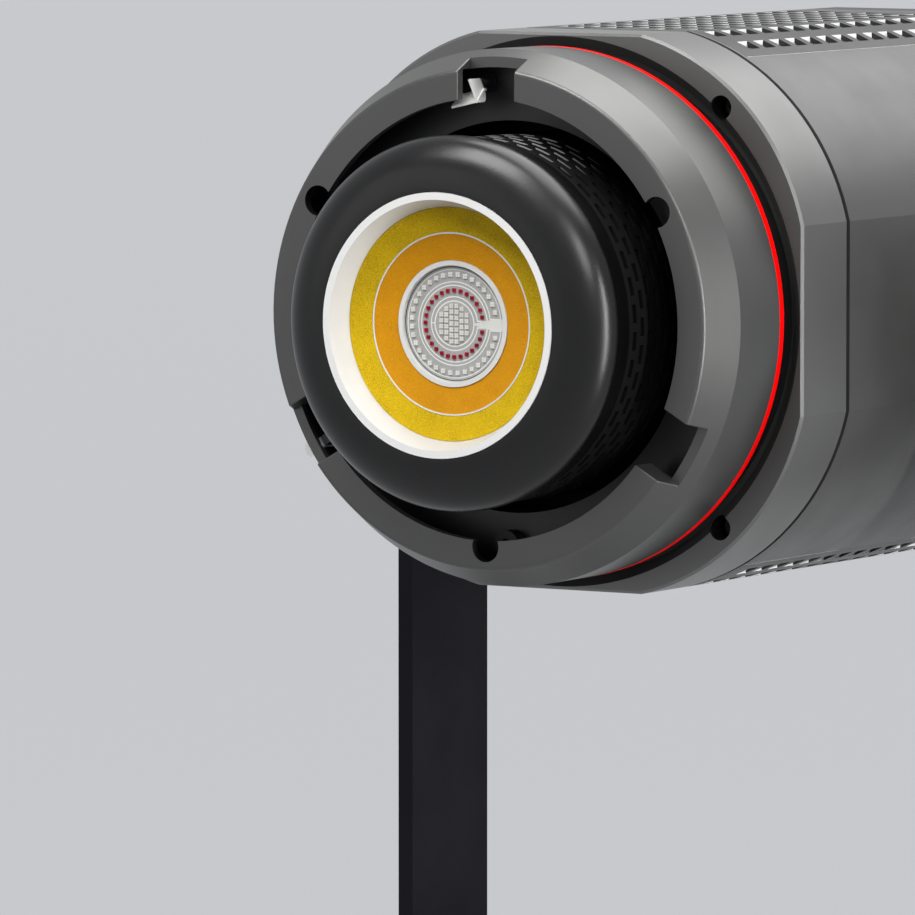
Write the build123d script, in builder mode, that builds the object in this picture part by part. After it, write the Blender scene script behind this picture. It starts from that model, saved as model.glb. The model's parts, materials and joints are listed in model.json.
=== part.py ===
from build123d import *
import math
import os

os.makedirs("parts", exist_ok=True)

# All sizes are millimetres. Z is up, the light looks along -Y, and the origin is the mouth of the
# stand socket. A depth is measured behind the front face of the modifier mount.

# Shared clearances
overrun = 2.0
running_clearance = 0.05
moving_clearance = 0.3
fit_clearance = 0.1

# Stand receiver
stud_bore_radius = 8.1
stud_bore_depth = 38.0
receiver_width = 34.0
receiver_height = 62.0
receiver_corner_radius = 7.0
receiver_edge_chamfer = 1.2
umbrella_bore_radius = 4.1
umbrella_bore_height = 45.0
clamp_height = 18.0

# Yoke strap
strap_thickness = 4.5
strap_width = 39.6
strap_bend_radius = 10.0
strap_end_radius = 19.0
arm_gap_half = 85.0
arm_drop = 185.0
arm_top_rise = 19.8

# Where the light hangs
pivot_depth = 122.5
axis_height = receiver_height + strap_thickness + arm_drop

# Screws of the receiver
receiver_bolt_radius = 4.0
receiver_bolt_head_radius = 7.5
receiver_bolt_head_height = 5.0
receiver_bolt_depth = 9.0
receiver_washer_radius = 12.0
receiver_washer_thickness = 1.6
stud_screw_radius = 4.0
stud_screw_standoff = 0.3
stud_knob_length = 15.0
stud_knob_gap = 1.5
stud_knob_lobe_radius = 3.6
stud_knob_lobes = 6
stud_knob_core_radius = 12.0
knob_edge_fillet = 1.2
umbrella_screw_radius = 3.0
umbrella_knob_radius = 9.0
umbrella_knob_length = 10.0
umbrella_knob_flute_radius = 1.4
umbrella_knob_flutes = 12

# Modifier mount
mount_radius = 65.0
mount_bore_radius = 57.5
mount_edge_fillet = 1.2
notch_edge_fillet = 0.35
mount_cone_depth = 10.65
mount_cone_radius = 70.0
mount_rear_depth = 31.3
mount_rear_radius = 69.9
mount_rear_inner_radius = 64.0
lip_thickness = 2.7
channel_radius = 65.3
seat_depth = 14.5
seat_thickness = 4.0
seat_bore_radius = 51.2
notch_angles = (90.0, 210.0, 330.0)
notch_width = 17.0
notch_depth = 6.5
stop_depth = 8.2
stop_width = 6.0
access_angles = (30.0, 150.0, 270.0)
access_circle_radius = 59.0
access_hole_radius = 4.0
mount_screw_radius = 2.0
mount_screw_head_radius = 3.5
mount_screw_head_height = 4.0
mount_screw_length = 10.0
screw_socket_radius = 1.5
screw_socket_depth = 2.0

# Leaf spring that snaps behind a lug of a modifier
leaf_angle = 103.0
leaf_tab_lean = 10.0
leaf_thickness = 0.6
leaf_front_depth = 3.0
leaf_bend_depth = 7.5
leaf_front_radius = 55.7
leaf_rear_radius = 58.6
leaf_tail_start = 0.55
leaf_tail_end = 8.77
leaf_tab_height = 6.5
leaf_tab_root_depth = 3.9
leaf_tab_top_depth = 7.8
leaf_tab_corner = 1.8
leaf_foot_radius = 63.5
leaf_rivet_radius = 1.3
leaf_rivet_height = 0.9

# Release slider of the mount
slider_angle = 212.0
slider_depth = 8.3
slider_length = 4.5
slider_radius = 2.15
slider_centre_radius = 68.6
slider_web_width = 2.6
slider_pawl_radius = 60.5
slider_travel = 4.0
slider_slot_width = 3.2
slider_groove_radius = 66.2

# Accent ring and the dark ring behind it
accent_thickness = 2.2
accent_inner_radius = 64.2
base_step_radius = 63.8
base_radius = 66.4
base_bore_radius = 53.0
base_rear_depth = 44.0

# Front frame
frame_lip_radius = 69.6
frame_lip_depth = 40.0
frame_crest_radius = 72.3
frame_crest_depth = 37.5
frame_front_chamfer = 0.7
frame_rear_chamfer = 0.3
frame_rear_depth = 61.0
frame_wall = 3.0
frame_web_thickness = 8.0
frame_web_radius = 60.0
frame_hole_angles = (48.4, 131.6, 228.4, 311.6)
frame_hole_circle_radius = 73.2
frame_hole_radius = 3.2
frame_screw_head_radius = 2.6
frame_screw_head_height = 3.2
frame_screw_radius = 1.6
frame_screw_reach = 10.0
frame_screw_seat = 4.0
gasket_thickness = 1.5
gasket_inset = 1.6
gasket_width = 2.7
gasket_hole_clearance = 0.3

# Outline of the body: corner arcs whose centres lie off the axis, cut by four flats
body_corner_offset = 10.0
body_corner_radius = 64.9
body_flat_half = 73.2

# Body shells
body_wall = 2.5
body_front_depth = frame_rear_depth + gasket_thickness
body_rear_depth = 215.0
boss_radius = 4.6
boss_length = 12.0

# Louvre panels
panel_thickness = 1.2
panel_front_margin = 1.7
panel_end_margin = 9.5
panel_half = 41.5
panel_ledge = 3.0
vent_width = 4.0
vent_length = 5.4
vent_pitch = 8.5
vent_rows = 10
vent_row_pitch = 8.0
vent_row_shift = 3.33
vent_rib_height = 2.5

# Pivot of the head
bracket_thickness = 3.0
bracket_half_height = 22.0
bracket_half_length = 34.0
bracket_corner = 6.0
boss_pivot_radius = 17.0
boss_pivot_length = 9.2
boss_edge_chamfer = 1.0
washer_radius = 15.0
pivot_bolt_radius = 5.0
pivot_bolt_head_radius = 8.5
pivot_bolt_head_height = 4.0
pivot_cap_radius = 9.0
pivot_cap_height = 5.0
tilt_knob_radius = 17.5
tilt_knob_lobe_radius = 5.0
tilt_knob_lobes = 6
tilt_knob_length = 14.0
tilt_knob_hub_radius = 11.0
tilt_knob_hub_length = 3.0
tilt_knob_fillet = 1.6

# Light engine
emitter_board_depth = -15.4
emitter_board_thickness = 1.5
emitter_board_radius = 31.0
emitter_height = 0.35
dam_outer_radius = 16.36
dam_inner_radius = 15.1
dam_height = 1.0
outer_emitter_size = 1.15
outer_emitter_circle = 12.75
outer_emitter_places = 36
red_emitter_size = 1.0
red_emitter_circle = 8.63
red_emitter_places = 28
centre_emitter_size = 1.1
centre_emitter_pitch = 1.53
centre_emitter_columns = (4, 6, 7, 7, 6, 4)
divider_inner_radius = 23.3
divider_outer_radius = 23.7
divider_depth = -17.15
inner_glow_front_depth = -16.1
glow_meeting_depth = -17.05
outer_glow_front_depth = -18.0
cup_rim_depth = -24.5
cup_outer_radius = 34.3
cup_rim_radius = 32.4
cup_floor_radius = 30.3
cap_front_depth = -24.2
cap_crest_depth = -15.3
cap_crest_radius = 48.7
cap_shoulder_radius = 35.2
cap_rear_depth = -8.0
cap_rear_radius = 47.9
spreader_radius = 45.0
spreader_thickness = 8.0
sleeve_radius = 47.6
sleeve_wall = 2.2
sleeve_rear_depth = 52.0
sleeve_slot_rows = 6
sleeve_slot_first_depth = -5.6
sleeve_slot_pitch = 3.8
sleeve_slot_height = 1.9
sleeve_ribs = 42
sleeve_rib_width = 2.3

# Cooling
sink_base_radius = 68.5
sink_base_thickness = 6.0
pipe_radius = 3.0
pipe_circle_radius = 34.0
pipe_count = 6
fin_half = 62.5
fin_circle_radius = 67.5
fin_thickness = 0.8
fin_pitch = 4.4
fin_first_gap = 12.0
fin_last_gap = 6.0
pipe_overhang = 2.0
fan_setback = 63.0
fan_thickness = 22.0
fan_half = 62.0
fan_bore_radius = 54.0
fan_strut_width = 7.0
fan_strut_thickness = 3.0
fan_hub_radius = 18.0
fan_shaft_radius = 2.0
fan_blade_count = 9
fan_blade_radius = 52.0
fan_blade_thickness = 1.6
fan_blade_chord = 15.0
fan_blade_tilt = 35.0
fan_hub_length = 15.0

# Electronics
board_thickness = 1.6
driver_board_setback = 27.0
driver_board_width = 104.0
driver_board_height = 88.0
standoff_radius = 2.6
standoff_x = 48.0
standoff_z = 38.0
transformer_place_share = 0.25
part_place_share = 0.2
transformer_width = 30.0
transformer_height = 26.0
transformer_length = 10.5
choke_radius = 9.0
choke_hole_radius = 4.5
choke_length = 9.0
capacitor_radius = 5.5
capacitor_length = 10.0
capacitor_pitch = 14.0
control_board_setback = 14.0
control_board_width = 114.0
control_board_height = 92.0

# Rear cover and its controls
cover_length = 21.0
cover_wall = 3.5
cover_fillet = 5.0
window_width = 62.0
window_height = 36.0
window_corner = 3.0
window_thickness = 1.5
window_z = 24.0
display_border = 2.5
dial_x = 50.0
dial_z = 20.0
dial_radius = 13.0
dial_length = 12.0
dial_skirt_gap = 0.4
dial_edge_chamfer = 0.8
dial_flutes = 24
dial_flute_radius = 0.8
dial_flute_length = 9.0
encoder_size = 12.0
encoder_length = 7.0
encoder_shaft_radius = 3.0
encoder_shaft_end = 10.0
button_pitch = 20.0
button_count = 3
button_z = -12.0
button_radius = 5.0
button_proud = 1.4
button_travel = 0.8
button_length = 7.4
button_edge_fillet = 0.5
tact_switch_size = 6.0
rocker_x = -33.0
rocker_z = -44.0
rocker_radius = 9.0
rocker_width = 13.0
rocker_floor = 3.0
rocker_crest = 3.4
rocker_angle = 8.0
rocker_pin_radius = 1.5
rocker_pin_length = 2.0
socket_x = 33.0
socket_z = -44.0
socket_radius = 5.6
socket_flange_radius = 7.5
socket_flange_thickness = 2.0
socket_bore_radius = 2.9
socket_bore_depth = 9.0
socket_pin_radius = 1.2
socket_length = 12.0
usb_width = 9.4
usb_height = 3.8
usb_wall = 0.6
usb_length = 9.0
usb_tongue = 0.8
usb_tongue_width = 7.0
usb_depth = 6.5


# Planes and axes of the head
optical_axis = Axis((0, -pivot_depth, axis_height), (0, 1, 0))
lengthwise = Plane(origin=(0, -pivot_depth, axis_height), x_dir=(0, 1, 0), z_dir=(1, 0, 0))
level = Plane(origin=(0, 0, axis_height), z_dir=(0, 0, 1))


def section(depth):
    """The plane across the light at a depth, facing forward, with X and Z as its own axes."""
    return Plane(origin=(0, depth - pivot_depth, axis_height), x_dir=(1, 0, 0), z_dir=(0, -1, 0))


def spoke(angle, side=0):
    """The plane through the optical axis at an angle, with depth and radius as its own axes."""
    turn = math.radians(angle)
    across = Vector(math.sin(turn), 0, -math.cos(turn))
    origin = Vector(0, -pivot_depth, axis_height) + across * side
    return Plane(origin=origin, x_dir=(0, 1, 0), z_dir=across)


def sideways(x):
    """The plane at x that faces +X, with Y and Z about the tilt axis as its own axes."""
    return Plane(origin=(x, 0, axis_height), x_dir=(0, 1, 0), z_dir=(1, 0, 0))


def save(piece, name):
    """Names a finished piece and writes it."""
    piece.part.label = name
    export_step(piece.part, f"parts/{name}.step")


def polar(radius, angle):
    """A point of a section plane at a radius and an angle."""
    turn = math.radians(angle)
    return (radius * math.cos(turn), radius * math.sin(turn))


# Stand receiver: a block with the stud socket below and a bore for an umbrella shaft across it
with BuildPart() as stand_receiver:
    with BuildSketch(Plane.XY):
        RectangleRounded(receiver_width, receiver_width, receiver_corner_radius)
    extrude(amount=receiver_height)
    chamfer(stand_receiver.faces().sort_by(Axis.Z)[-1].edges(), length=receiver_edge_chamfer)
    chamfer(stand_receiver.faces().sort_by(Axis.Z)[0].edges(), length=receiver_edge_chamfer)
    with BuildSketch(Plane.XY):
        Circle(stud_bore_radius)
    extrude(amount=stud_bore_depth, mode=Mode.SUBTRACT)
    with BuildSketch(Plane.XZ):
        with Locations((0, umbrella_bore_height)):
            Circle(umbrella_bore_radius)
    extrude(amount=receiver_width, both=True, mode=Mode.SUBTRACT)
    with BuildSketch(Plane.YZ):
        with Locations((0, clamp_height)):
            Circle(stud_screw_radius + running_clearance)
    extrude(amount=receiver_width, mode=Mode.SUBTRACT)
    with BuildSketch(Plane.YZ):
        with Locations((0, umbrella_bore_height)):
            Circle(umbrella_screw_radius + running_clearance)
    extrude(amount=-receiver_width, mode=Mode.SUBTRACT)
    with BuildSketch(Plane.XY.offset(receiver_height)):
        Circle(receiver_bolt_radius + running_clearance)
    extrude(amount=-receiver_bolt_depth - overrun, mode=Mode.SUBTRACT)
save(stand_receiver, "stand_receiver")

# Yoke: one strap bent into a U, with rounded ends at the pivots
strap_outer_half = arm_gap_half + strap_thickness
strap_top = axis_height + arm_top_rise
with BuildPart() as yoke:
    with BuildSketch(Plane.XZ):
        with Locations((0, (strap_top + receiver_height) / 2)):
            Rectangle(2 * strap_outer_half, strap_top - receiver_height)
        with Locations((0, (strap_top + receiver_height) / 2 + strap_thickness)):
            Rectangle(2 * arm_gap_half, strap_top - receiver_height, mode=Mode.SUBTRACT)
    extrude(amount=strap_width / 2, both=True)
    bends = yoke.edges().filter_by(Axis.Y).group_by(Axis.Z)
    fillet(bends[0], radius=strap_bend_radius)
    inner_bends = yoke.edges().filter_by(Axis.Y).filter_by_position(
        Axis.Z, receiver_height + strap_thickness, receiver_height + strap_thickness
    )
    fillet(inner_bends.group_by(Axis.Z)[0], radius=strap_bend_radius - strap_thickness)
    fillet(yoke.edges().filter_by(Axis.X).group_by(Axis.Z)[-1], radius=strap_end_radius)
    with BuildSketch(sideways(-strap_outer_half - overrun)):
        Circle(pivot_bolt_radius + running_clearance)
    extrude(amount=2 * (strap_outer_half + overrun), mode=Mode.SUBTRACT)
    with BuildSketch(Plane.XY.offset(receiver_height - overrun)):
        Circle(receiver_bolt_radius + running_clearance)
    extrude(amount=strap_thickness + 2 * overrun, mode=Mode.SUBTRACT)
save(yoke, "yoke")

# Bolt and washer that hold the receiver under the yoke
crossbar_top = receiver_height + strap_thickness
with BuildPart() as receiver_bolt:
    with BuildSketch(Plane.XY.offset(crossbar_top)):
        Circle(receiver_washer_radius)
    extrude(amount=receiver_washer_thickness)
    with BuildSketch(Plane.XY.offset(crossbar_top + receiver_washer_thickness)):
        RegularPolygon(receiver_bolt_head_radius, 6)
    extrude(amount=receiver_bolt_head_height)
    with BuildSketch(Plane.XY.offset(receiver_height - receiver_bolt_depth)):
        Circle(receiver_bolt_radius)
    extrude(amount=receiver_bolt_depth + strap_thickness + receiver_washer_thickness)
save(receiver_bolt, "receiver_bolt")

# Clamping screw of the stud socket and its lobed knob
stud_screw_tip = stud_bore_radius + stud_screw_standoff
stud_knob_start = receiver_width / 2 + stud_knob_gap
with BuildPart() as stud_screw:
    with BuildSketch(Plane.YZ.offset(stud_screw_tip)):
        with Locations((0, clamp_height)):
            Circle(stud_screw_radius)
    extrude(amount=stud_knob_start + stud_knob_length / 2 - stud_screw_tip)
save(stud_screw, "stud_screw")

with BuildPart() as stud_knob:
    with BuildSketch(Plane.YZ.offset(stud_knob_start)):
        with Locations((0, clamp_height)):
            Circle(stud_knob_core_radius)
            with PolarLocations(stud_knob_core_radius, stud_knob_lobes):
                Circle(stud_knob_lobe_radius)
    extrude(amount=stud_knob_length)
    fillet(stud_knob.faces().sort_by(Axis.X)[-1].edges(), radius=knob_edge_fillet)
    with BuildSketch(Plane.YZ.offset(stud_knob_start)):
        with Locations((0, clamp_height)):
            Circle(stud_screw_radius)
    extrude(amount=stud_knob_length / 2, mode=Mode.SUBTRACT)
save(stud_knob, "stud_knob")

# Thumb screw of the umbrella bore
umbrella_screw_tip = umbrella_bore_radius + stud_screw_standoff
umbrella_knob_start = receiver_width / 2 + stud_knob_gap
with BuildPart() as umbrella_screw:
    with BuildSketch(Plane.YZ.offset(-umbrella_screw_tip)):
        with Locations((0, umbrella_bore_height)):
            Circle(umbrella_screw_radius)
    extrude(amount=umbrella_screw_tip - umbrella_knob_start)
    with BuildSketch(Plane.YZ.offset(-umbrella_knob_start)):
        with Locations((0, umbrella_bore_height)):
            Circle(umbrella_knob_radius)
            with PolarLocations(umbrella_knob_radius, umbrella_knob_flutes):
                Circle(umbrella_knob_flute_radius, mode=Mode.SUBTRACT)
    extrude(amount=-umbrella_knob_length)
save(umbrella_screw, "umbrella_screw")

# Mount ring: conical nose, lip with three notches, a stop beside each, channel for the lugs and seat
seat_rear_depth = seat_depth + seat_thickness
mount_profile = (
    (0, mount_bore_radius),
    (0, mount_radius),
    (mount_cone_depth, mount_cone_radius),
    (mount_rear_depth, mount_rear_radius),
    (mount_rear_depth, mount_rear_inner_radius),
    (seat_rear_depth, mount_rear_inner_radius),
    (seat_rear_depth, seat_bore_radius),
    (seat_depth, seat_bore_radius),
    (seat_depth, channel_radius),
    (lip_thickness, channel_radius),
    (lip_thickness, mount_bore_radius),
)
slider_rear_depth = slider_depth + slider_length
slider_end_depth = slider_rear_depth + slider_travel + moving_clearance
slider_groove_half = slider_radius + moving_clearance
with BuildPart() as mount_ring:
    with BuildSketch(lengthwise) as mount_sketch:
        Polygon(*mount_profile, align=None)
        nose_corners = mount_sketch.vertices().group_by(Axis.X)[0].sort_by(Axis.Y)
        fillet(nose_corners[-1], radius=mount_edge_fillet)
    revolve(axis=optical_axis)
    for angle in notch_angles:
        with BuildSketch(section(stop_depth)):
            Circle(channel_radius)
            Circle(mount_bore_radius, mode=Mode.SUBTRACT)
            with PolarLocations(0, 1, start_angle=angle - 90):
                with Locations(((notch_width + stop_width) / 2, access_circle_radius)):
                    Rectangle(stop_width, 2 * (channel_radius - seat_bore_radius), mode=Mode.INTERSECT)
        extrude(amount=stop_depth - lip_thickness)
        with BuildSketch(spoke(angle)):
            with Locations((notch_depth / 2, mount_radius)):
                Rectangle(notch_depth, 2 * (mount_cone_radius - mount_bore_radius))
        extrude(amount=notch_width / 2, both=True, mode=Mode.SUBTRACT)
    notch_edges = mount_ring.edges().filter_by_position(Axis.Y, -pivot_depth, -pivot_depth)
    fillet(notch_edges.filter_by(GeomType.LINE), radius=notch_edge_fillet)
    with BuildSketch(section(lip_thickness + overrun)):
        for angle in access_angles:
            with Locations(polar(access_circle_radius, angle)):
                Circle(access_hole_radius)
    extrude(amount=lip_thickness + 2 * overrun, mode=Mode.SUBTRACT)
    with BuildSketch(section(seat_rear_depth + overrun)):
        for angle in access_angles:
            with Locations(polar(access_circle_radius, angle)):
                Circle(mount_screw_radius + running_clearance)
    extrude(amount=seat_thickness + 2 * overrun, mode=Mode.SUBTRACT)
    with BuildSketch(spoke(slider_angle)):
        with Locations(((slider_depth + slider_end_depth) / 2, slider_groove_radius)):
            Rectangle(
                slider_end_depth - slider_depth + 2 * moving_clearance,
                mount_cone_radius - slider_groove_radius + overrun,
                align=(Align.CENTER, Align.MIN),
            )
    extrude(amount=slider_groove_half, both=True, mode=Mode.SUBTRACT)
    with BuildSketch(spoke(slider_angle)):
        with Locations(((slider_depth + slider_end_depth) / 2, slider_pawl_radius - moving_clearance)):
            Rectangle(
                slider_end_depth - slider_depth + 2 * moving_clearance,
                slider_groove_radius - slider_pawl_radius + overrun,
                align=(Align.CENTER, Align.MIN),
            )
    extrude(amount=slider_slot_width / 2, both=True, mode=Mode.SUBTRACT)
save(mount_ring, "mount_ring")

# Screws that hold the mount ring, reached through the holes of its lip
with BuildPart() as mount_screws:
    for angle in access_angles:
        with BuildSketch(section(seat_depth)):
            with Locations(polar(access_circle_radius, angle)):
                Circle(mount_screw_head_radius)
        extrude(amount=mount_screw_head_height)
        with BuildSketch(section(seat_depth + mount_screw_length)):
            with Locations(polar(access_circle_radius, angle)):
                Circle(mount_screw_radius)
        extrude(amount=mount_screw_length)
        with BuildSketch(section(seat_depth - mount_screw_head_height)):
            with Locations(polar(access_circle_radius, angle)):
                RegularPolygon(screw_socket_radius, 6)
        extrude(amount=-screw_socket_depth, mode=Mode.SUBTRACT)
save(mount_screws, "mount_screws")

# Leaf spring: a slanted tail under the lip, a tab across the notch and a foot on the seat
tail_profile = (
    (leaf_front_depth, leaf_front_radius),
    (leaf_bend_depth, leaf_rear_radius),
    (seat_depth, leaf_rear_radius),
    (seat_depth, leaf_foot_radius),
    (seat_depth - leaf_thickness, leaf_foot_radius),
    (seat_depth - leaf_thickness, leaf_rear_radius + leaf_thickness),
    (leaf_bend_depth, leaf_rear_radius + leaf_thickness),
    (leaf_front_depth, leaf_front_radius + leaf_thickness),
)
lean_cosine = math.cos(math.radians(leaf_tab_lean))
lean_sine = math.sin(math.radians(leaf_tab_lean))
tab_root_radius = leaf_front_radius * lean_cosine - leaf_tail_end * lean_sine
tab_side = leaf_front_radius * lean_sine + leaf_tail_end * lean_cosine
with BuildPart() as leaf_spring:
    with BuildSketch(spoke(leaf_angle, leaf_tail_start)):
        Polygon(*tail_profile)
    extrude(amount=leaf_tail_end - leaf_tail_start)
    with BuildSketch(spoke(leaf_angle + leaf_tab_lean, tab_side)) as tab_sketch:
        with Locations((leaf_front_depth, tab_root_radius)):
            Polygon(
                (0, 0),
                (0, leaf_tab_height),
                (leaf_tab_top_depth, leaf_tab_height),
                (leaf_tab_root_depth, 0),
                align=None,
            )
        fillet(tab_sketch.vertices().sort_by(Axis.X)[-2:], radius=leaf_tab_corner)
    extrude(amount=-leaf_thickness)
save(leaf_spring, "leaf_spring")

leaf_foot_middle = (leaf_rear_radius + leaf_foot_radius + leaf_thickness) / 2
leaf_middle = spoke(leaf_angle, (leaf_tail_start + leaf_tail_end) / 2)
rivet_line = Axis(leaf_middle.from_local_coords((0, leaf_foot_middle, 0)), (0, 1, 0))
with BuildPart() as leaf_rivet:
    with BuildSketch(leaf_middle):
        with Locations((seat_depth - leaf_thickness, leaf_foot_middle)):
            Rectangle(leaf_rivet_height, leaf_rivet_radius, align=(Align.MAX, Align.MIN))
    revolve(axis=rivet_line)
save(leaf_rivet, "leaf_rivet")

# Release slider: a domed thumb piece outside, and a pawl that stands in the lug channel
slider_plane = spoke(slider_angle)
with BuildPart() as release_slider:
    with BuildSketch(slider_plane):
        with Locations((slider_depth, slider_pawl_radius)):
            Rectangle(
                slider_length,
                slider_centre_radius - slider_pawl_radius,
                align=(Align.MIN, Align.MIN),
            )
    extrude(amount=slider_web_width / 2, both=True)
    with BuildSketch(slider_plane):
        with Locations((slider_depth, slider_centre_radius)):
            Rectangle(slider_length, slider_radius, align=(Align.MIN, Align.MIN))
    thumb_line = Axis(slider_plane.from_local_coords((0, slider_centre_radius, 0)), (0, 1, 0))
    revolve(axis=thumb_line)
save(release_slider, "release_slider")

# Accent ring behind the mount ring
accent_rear_depth = mount_rear_depth + accent_thickness
with BuildPart() as accent_ring:
    with BuildSketch(section(accent_rear_depth)):
        Circle(mount_rear_radius)
        Circle(accent_inner_radius, mode=Mode.SUBTRACT)
    extrude(amount=accent_thickness)
save(accent_ring, "accent_ring")

# Mount base: the dark ring that carries the mount ring on the front frame
base_profile = (
    (seat_rear_depth, base_bore_radius),
    (seat_rear_depth, base_step_radius),
    (accent_rear_depth, base_step_radius),
    (accent_rear_depth, base_radius),
    (base_rear_depth, base_radius),
    (base_rear_depth, base_bore_radius),
)
with BuildPart() as mount_base:
    with BuildSketch(lengthwise):
        Polygon(*base_profile)
    revolve(axis=optical_axis)
    with BuildSketch(section(seat_depth + mount_screw_length + overrun)):
        for angle in access_angles:
            with Locations(polar(access_circle_radius, angle)):
                Circle(mount_screw_radius + running_clearance)
    extrude(amount=mount_screw_length + overrun, mode=Mode.SUBTRACT)
    with BuildSketch(spoke(slider_angle)):
        with Locations((seat_rear_depth, slider_pawl_radius - moving_clearance)):
            Rectangle(
                slider_travel,
                base_step_radius - slider_pawl_radius + overrun,
                align=(Align.CENTER, Align.MIN),
            )
    extrude(amount=slider_slot_width / 2, both=True, mode=Mode.SUBTRACT)
save(mount_base, "mount_base")



def body_outline(depth, inset):
    """The outline of the body at a depth, drawn in by an inset: corner arcs cut by four flats."""
    with BuildSketch(section(depth)) as outline:
        RectangleRounded(
            2 * (body_half - inset), 2 * (body_half - inset), body_corner_radius - inset
        )
        Rectangle(2 * (body_flat_half - inset), 2 * (body_flat_half - inset), mode=Mode.INTERSECT)
    return outline.sketch


# Front frame: a surround with a flat face, a bore round the mount base, and a web behind it
body_half = body_corner_offset + body_corner_radius
web_rear_depth = base_rear_depth + frame_web_thickness
frame_bore_profile = (
    (frame_crest_depth - overrun, 0),
    (frame_crest_depth - overrun, frame_crest_radius),
    (frame_crest_depth, frame_crest_radius),
    (frame_lip_depth, frame_lip_radius),
    (base_rear_depth, frame_lip_radius),
    (base_rear_depth, frame_web_radius),
    (frame_rear_depth + overrun, frame_web_radius),
    (frame_rear_depth + overrun, 0),
)
with BuildPart() as front_frame:
    extrude(body_outline(frame_rear_depth, 0), amount=frame_rear_depth - frame_crest_depth)
    chamfer(front_frame.faces().sort_by(Axis.Y)[0].edges(), length=frame_front_chamfer)
    chamfer(front_frame.faces().sort_by(Axis.Y)[-1].edges(), length=frame_rear_chamfer)
    with BuildSketch(lengthwise):
        Polygon(*frame_bore_profile, align=None)
    revolve(axis=optical_axis, mode=Mode.SUBTRACT)
    extrude(
        body_outline(frame_rear_depth, frame_wall),
        amount=frame_rear_depth - web_rear_depth,
        mode=Mode.SUBTRACT,
    )
    with BuildSketch(section(web_rear_depth - frame_screw_seat)):
        for angle in frame_hole_angles:
            with Locations(polar(frame_hole_circle_radius, angle)):
                Circle(frame_hole_radius)
    extrude(amount=web_rear_depth - frame_crest_depth, mode=Mode.SUBTRACT)
    with BuildSketch(section(web_rear_depth)):
        for angle in frame_hole_angles:
            with Locations(polar(frame_hole_circle_radius, angle)):
                Circle(frame_screw_radius + running_clearance)
    extrude(amount=frame_screw_seat, mode=Mode.SUBTRACT)
save(front_frame, "front_frame")

# Screws that clamp the front frame to the shells
screw_seat_depth = web_rear_depth - frame_screw_seat
frame_screw_end = body_front_depth + frame_screw_reach
with BuildPart() as frame_screws:
    for angle in frame_hole_angles:
        place = polar(frame_hole_circle_radius, angle)
        with BuildSketch(section(screw_seat_depth)):
            with Locations(place):
                Circle(frame_screw_head_radius)
        extrude(amount=frame_screw_head_height)
        with BuildSketch(section(frame_screw_end)):
            with Locations(place):
                Circle(frame_screw_radius)
        extrude(amount=frame_screw_end - screw_seat_depth)
        with BuildSketch(section(screw_seat_depth - frame_screw_head_height)):
            with Locations(place):
                RegularPolygon(screw_socket_radius, 6)
        extrude(amount=-screw_socket_depth, mode=Mode.SUBTRACT)
save(frame_screws, "frame_screws")

# Gasket in the gap between the frame and the shells
with BuildPart() as frame_gasket:
    extrude(body_outline(body_front_depth, gasket_inset), amount=gasket_thickness)
    extrude(
        body_outline(body_front_depth, gasket_inset + gasket_width),
        amount=gasket_thickness,
        mode=Mode.SUBTRACT,
    )
    with BuildSketch(section(body_front_depth)):
        for angle in frame_hole_angles:
            with Locations(polar(frame_hole_circle_radius, angle)):
                Circle(frame_screw_radius + gasket_hole_clearance)
    extrude(amount=gasket_thickness, mode=Mode.SUBTRACT)
save(frame_gasket, "frame_gasket")

# Body shells: one tube, split level with the pivot, with a window for each louvre panel
body_length = body_rear_depth - body_front_depth
panel_front_depth = body_front_depth + panel_front_margin
panel_rear_depth = body_rear_depth - panel_end_margin
with BuildPart() as whole_shell:
    extrude(body_outline(body_rear_depth, 0), amount=body_length)
    extrude(body_outline(body_rear_depth, body_wall), amount=body_length, mode=Mode.SUBTRACT)
    with BuildSketch(level):
        with Locations((0, (panel_front_depth + panel_rear_depth) / 2 - pivot_depth)):
            Rectangle(
                2 * (panel_half - panel_ledge),
                panel_rear_depth - panel_front_depth - 2 * panel_ledge,
            )
    extrude(amount=body_half, both=True, mode=Mode.SUBTRACT)
    with BuildSketch(sideways(0)):
        Circle(pivot_bolt_radius + running_clearance)
    extrude(amount=body_half, both=True, mode=Mode.SUBTRACT)
    with BuildSketch(section(body_front_depth + boss_length)):
        for angle in frame_hole_angles:
            with Locations(polar(frame_hole_circle_radius, angle)):
                Circle(boss_radius)
    extrude(amount=boss_length)
    with BuildSketch(section(body_front_depth + frame_screw_reach)):
        for angle in frame_hole_angles:
            with Locations(polar(frame_hole_circle_radius, angle)):
                Circle(frame_screw_radius + running_clearance)
    extrude(amount=frame_screw_reach, mode=Mode.SUBTRACT)

# The recess that a louvre panel fills: a thin layer of the body, as wide as the panel
recess_length = panel_rear_depth - panel_front_depth
with BuildPart() as recess:
    extrude(body_outline(panel_rear_depth, -overrun), amount=recess_length)
    extrude(body_outline(panel_rear_depth, panel_thickness), amount=recess_length, mode=Mode.SUBTRACT)
    with BuildSketch(section(panel_rear_depth)):
        Rectangle(2 * panel_half, 2 * (body_half + overrun))
    extrude(amount=recess_length, mode=Mode.INTERSECT)

with BuildPart() as upper_shell:
    add(whole_shell.part)
    add(recess.part, mode=Mode.SUBTRACT)
    split(bisect_by=level, keep=Keep.TOP)
save(upper_shell, "upper_shell")

with BuildPart() as lower_shell:
    add(whole_shell.part)
    add(recess.part, mode=Mode.SUBTRACT)
    split(bisect_by=level, keep=Keep.BOTTOM)
save(lower_shell, "lower_shell")

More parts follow.
